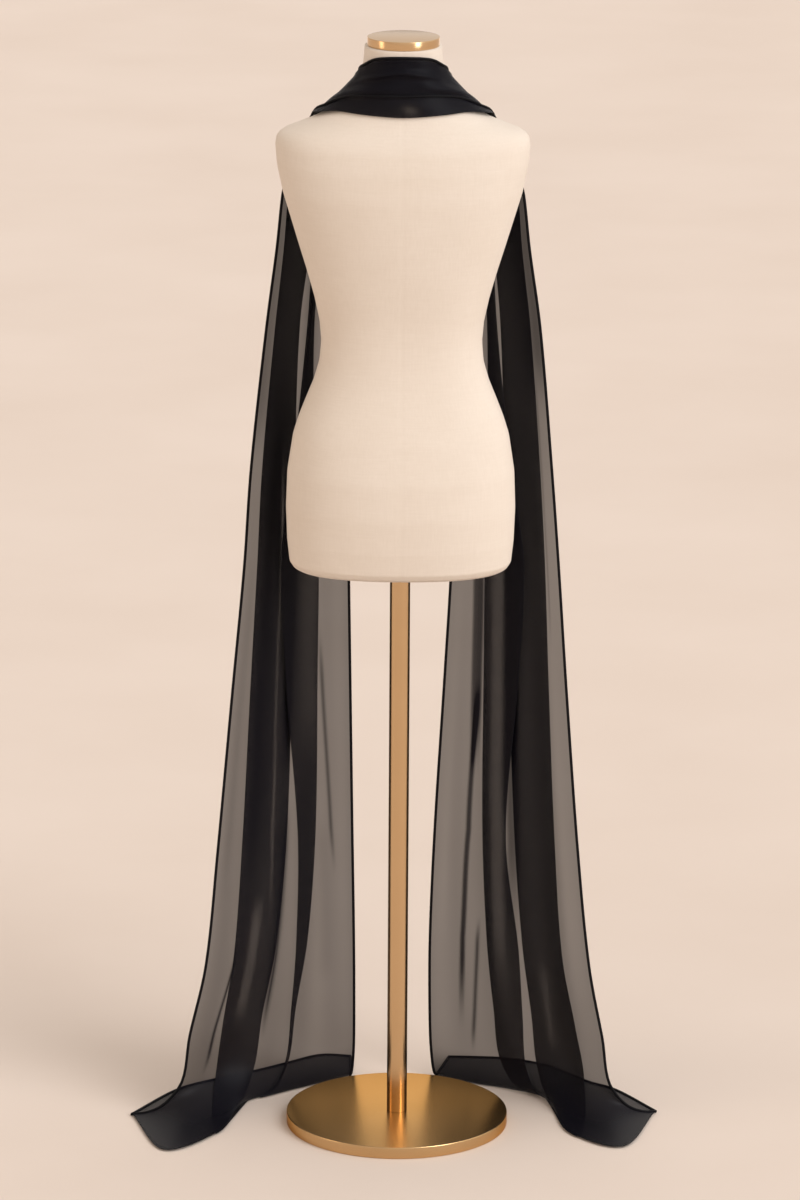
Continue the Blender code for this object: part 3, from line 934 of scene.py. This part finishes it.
opaque = add(
    tree, "ShaderNodeMath", {0: drawn_up, 1: CHIFFON_ALPHA}, operation="ADD", use_clamp=True
)
cloth_shader = add(
    tree, "ShaderNodeBsdfPrincipled",
    {
        "Base Color": dye.outputs["Color"], "Alpha": opaque.outputs[0],
        "Normal": relief.outputs["Normal"], "Roughness": 0.45, "Specular IOR Level": 0.10,
        "Sheen Weight": 0.024, "Sheen Roughness": 0.3, "Sheen Tint": linear("#CDCFE8"),
    },
)
tree.links.new(cloth_shader.outputs[0], output.inputs["Surface"])
dress(chiffon, scarf)

# %% [markdown]
# ## Rolled chiffon
#
# A rolled hem is many layers of the same cloth, so it lets hardly any light through. It could be
# sheer as well, but a closed cord would then show its own far side, so it is made opaque. The
# whipping stitches pull it in every 2.5 mm, which gives the dark line a slight unevenness.

# %% Rolled chiffon
WHIP_STITCH = 2.5 * MM

rolled, tree, output = new_material("rolled chiffon hem")
place = add(tree, "ShaderNodeTexCoord").outputs["Object"]
stitch = add(tree, "ShaderNodeTexNoise", {"Vector": place, "Scale": 1 / WHIP_STITCH, "Detail": 2.0})
shade = add(
    tree, "ShaderNodeMixRGB",
    {"Fac": stitch.outputs["Fac"], "Color1": linear("#08070A"), "Color2": linear("#121114")},
)
rolled_shader = add(
    tree, "ShaderNodeBsdfPrincipled",
    {"Base Color": shade.outputs["Color"], "Roughness": 0.6, "Specular IOR Level": 0.1},
)
tree.links.new(rolled_shader.outputs[0], output.inputs["Surface"])
dress(rolled, hem)

# %% [markdown]
# ## Linen, plain woven of uneven thread and stretched over padding
#
# Thick and thin places in the thread give linen its fine level streaks, and dye and handling leave
# a soft mottle about a palm across. A checked pattern would look machine-made, so two noises are
# drawn out instead, one level and one upright. Real threads are 0.5 mm apart; they are drawn
# 2.4 mm apart, which is as fine as shows.

# %% Linen
LINEN_THREAD = 2.4 * MM
LINEN_MOTTLE = 111 * MM

linen, tree, output = new_material("woven linen cover")
place = add(tree, "ShaderNodeTexCoord").outputs["Object"]
weft = threads(tree, place, LINEN_THREAD, "XY")
warp = threads(tree, place, LINEN_THREAD, "Z")
woven = add(tree, "ShaderNodeMath", {0: weft, 1: warp}, operation="ADD")
mottle = add(tree, "ShaderNodeTexNoise", {"Vector": place, "Scale": 1 / LINEN_MOTTLE, "Detail": 5.0})
tone = add(
    tree, "ShaderNodeMixRGB",
    {"Fac": mottle.outputs["Fac"], "Color1": linear("#D5C8BA"), "Color2": linear("#E0D5C9")},
)
spread = add(
    tree, "ShaderNodeMapRange",
    {"Value": woven.outputs[0], **WOVEN_RANGE, "To Min": 0.0, "To Max": 0.3},
)
thread_tone = add(
    tree, "ShaderNodeMixRGB",
    {"Fac": spread.outputs["Result"], "Color1": tone.outputs["Color"], "Color2": linear("#CEC0B1")},
)
relief = add(
    tree, "ShaderNodeBump",
    {"Height": woven.outputs[0], "Strength": 0.25, "Distance": 0.4 * MM},
)
linen_shader = add(
    tree, "ShaderNodeBsdfPrincipled",
    {
        "Base Color": thread_tone.outputs["Color"], "Roughness": 0.85,
        "Normal": relief.outputs["Normal"], "Sheen Weight": 0.05, "Specular IOR Level": 0.2,
    },
)
tree.links.new(linen_shader.outputs[0], output.inputs["Surface"])
dress(linen, form_cover)

# %% [markdown]
# ## Brass, brushed on the base and finer on the drawn pole and turned cap
#
# Brushing spreads a reflection until only broad bands are left. The finer finish of the pole still
# mirrors the dark falls as a band down each side, which shows how round it is. Scratches could be
# cut as relief, but what the eye sees of them is uneven roughness, so that is what they change.
# Real scratches are 0.1 mm apart; they are drawn three to the centimetre, the finest that shows.
# Lacquer tones the metal in faint clouds about a palm across.

# %% Brass
SCRATCH = 10 / 3 * MM
LACQUER_CLOUD = 111 * MM


def brass_finish(name, darkest, lightest, tint, finest, coarsest):
    """Lacquered brass whose roughness runs between two values from scratch to scratch.

    The tint is the colour that it keeps where it is seen at a low angle.
    """
    made, tree, output = new_material(name)
    place = add(tree, "ShaderNodeTexCoord").outputs["Object"]
    scratches = add(
        tree, "ShaderNodeTexNoise", {"Vector": place, "Scale": 1 / SCRATCH, "Detail": 3.0}
    )
    cloudy = add(
        tree, "ShaderNodeTexNoise", {"Vector": place, "Scale": 1 / LACQUER_CLOUD, "Detail": 3.0}
    )
    tone = add(
        tree, "ShaderNodeMixRGB",
        {"Fac": cloudy.outputs["Fac"], "Color1": linear(darkest), "Color2": linear(lightest)},
    )
    satin = add(
        tree, "ShaderNodeMapRange",
        {"Value": scratches.outputs["Fac"], "To Min": finest, "To Max": coarsest},
    )
    shader = add(
        tree, "ShaderNodeBsdfPrincipled",
        {
            "Base Color": tone.outputs["Color"], "Metallic": 1.0,
            "Roughness": satin.outputs["Result"], "Specular Tint": linear(tint),
        },
    )
    tree.links.new(shader.outputs[0], output.inputs["Surface"])
    return made


dress(brass_finish("brushed brass plate", "#C9A677", "#D5B284", "#DDBC98", 0.25, 0.28), base)
dress(brass_finish("satin drawn brass", "#CDAB80", "#D8B68C", "#FFFFFF", 0.18, 0.22), pole, cap)

# %% [markdown]
# ## Floor and light
#
# The floor is a plain warm plaster that runs far back, so that no horizon shows from a little
# above. Area lights alone would leave a bright pool round the stand, so three banks of lamps are
# wide soft suns, which light the floor evenly however far it runs. Brass needs shapes to mirror,
# and a sun gives only a spot. So softboxes stand at both sides and behind, and they are flagged off
# everything but what mirrors them. The one behind brightens the base between the dark falls.

# %% Floor
FLOOR_REACH = 60.0
PLASTER_CLOUD = 625 * MM

ground = bmesh.new()
bmesh.ops.create_grid(ground, x_segments=2, y_segments=2, size=FLOOR_REACH)
floor_mesh = bpy.data.meshes.new("floor")
ground.to_mesh(floor_mesh)
ground.free()
floor = bpy.data.objects.new("floor", floor_mesh)
bpy.context.scene.collection.objects.link(floor)

# Trowelled plaster dries in faint clouds, an arm's sweep across, with finer ones in them.
plaster, tree, output = new_material("trowelled plaster floor")
place = add(tree, "ShaderNodeTexCoord").outputs["Object"]
clouds = add(tree, "ShaderNodeTexNoise", {"Vector": place, "Scale": 1 / PLASTER_CLOUD, "Detail": 7.0})
tone = add(
    tree, "ShaderNodeMixRGB",
    {"Fac": clouds.outputs["Fac"], "Color1": linear("#D7C7BA"), "Color2": linear("#E2D4C9")},
)
floor_shader = add(
    tree, "ShaderNodeBsdfPrincipled",
    {"Base Color": tone.outputs["Color"], "Roughness": 0.9, "Specular IOR Level": 0.1},
)
tree.links.new(floor_shader.outputs[0], output.inputs["Surface"])
dress(plaster, floor)

# %% Banks and softboxes
def lamp(name, kind, place, target, power, colour):
    """A light of a kind at a place, turned to a target."""
    made = bpy.data.objects.new(name, bpy.data.lights.new(name, kind))
    bpy.context.scene.collection.objects.link(made)
    made.data.energy = power
    made.data.color = linear(colour)[:3]
    made.location = place
    made.rotation_euler = (Vector(target) - Vector(place)).to_track_quat("-Z", "Y").to_euler()
    return made


def bank(name, direction, power, width, colour):
    """A bank of lamps as a sun that shines in a direction and is this many degrees wide."""
    made = lamp(name, "SUN", (0, 0, 0), direction, power, colour)
    made.data.angle = math.radians(width)
    return made


def softbox(name, place, target, size, power, colour):
    """A rectangular light that only shows where it is mirrored."""
    made = lamp(name, "AREA", place, target, power, colour)
    made.data.shape = "RECTANGLE"
    made.data.size, made.data.size_y = size
    made.visible_camera = False
    made.visible_diffuse = False
    return made


bank("ceiling bank", (-0.65, 0.5, -0.8), 1.10, 35, "#FBFCFF")
right_bank = bank("right bank", (-3.2, 3.0, -1.2), 0.85, 28, "#FFFFFF")
left_bank = bank("left bank", (3.4, 1.0, -0.9), 0.34, 24, "#FFE9D2")
for side_bank in (right_bank, left_bank):
    side_bank.visible_glossy = False  # the softbox at that side is mirrored instead
softbox("right box", (3.2, -3.0, 2.2), (0, 0, 1.0), (1.2, 3.0), 58, "#FFFFFF")
softbox("left box", (-3.4, -1.0, 1.8), (0, 0, 0.9), (0.8, 2.6), 15, "#FFE9D2")
softbox("back box", (0.3, 3.2, 0.9), (0, 0, 0.1), (2.6, 0.9), 4, "#FFF4E6")

# %% The light of the room
world = bpy.data.worlds.new("studio")
bpy.context.scene.world = world
world.use_nodes = True
background = world.node_tree.nodes["Background"]
background.inputs["Strength"].default_value = 1.0

# The room is darker towards -X, because the ceiling bank hangs to the other side.
towards = add(world.node_tree, "ShaderNodeTexCoord").outputs["Generated"]
axes = add(world.node_tree, "ShaderNodeSeparateXYZ", {"Vector": towards})
sideways = add(
    world.node_tree, "ShaderNodeMapRange",
    {"Value": axes.outputs["X"], "From Min": -0.9, "From Max": 0.9, "To Min": 0.0, "To Max": 1.0},
)
room = add(
    world.node_tree, "ShaderNodeMixRGB",
    {
        "Fac": sideways.outputs["Result"],
        "Color1": linear("#D4C7BB"), "Color2": linear("#FFFBF7"),
    },
)
world.node_tree.links.new(room.outputs["Color"], background.inputs["Color"])

# The plain view keeps the hex colours as they are given, and a ray may pass this many sheer layers.
SHEER_LAYERS = 48
scene = bpy.context.scene
scene.view_settings.view_transform = "Standard"
scene.cycles.transparent_max_bounces = SHEER_LAYERS
print("the room's own light is", world.name)
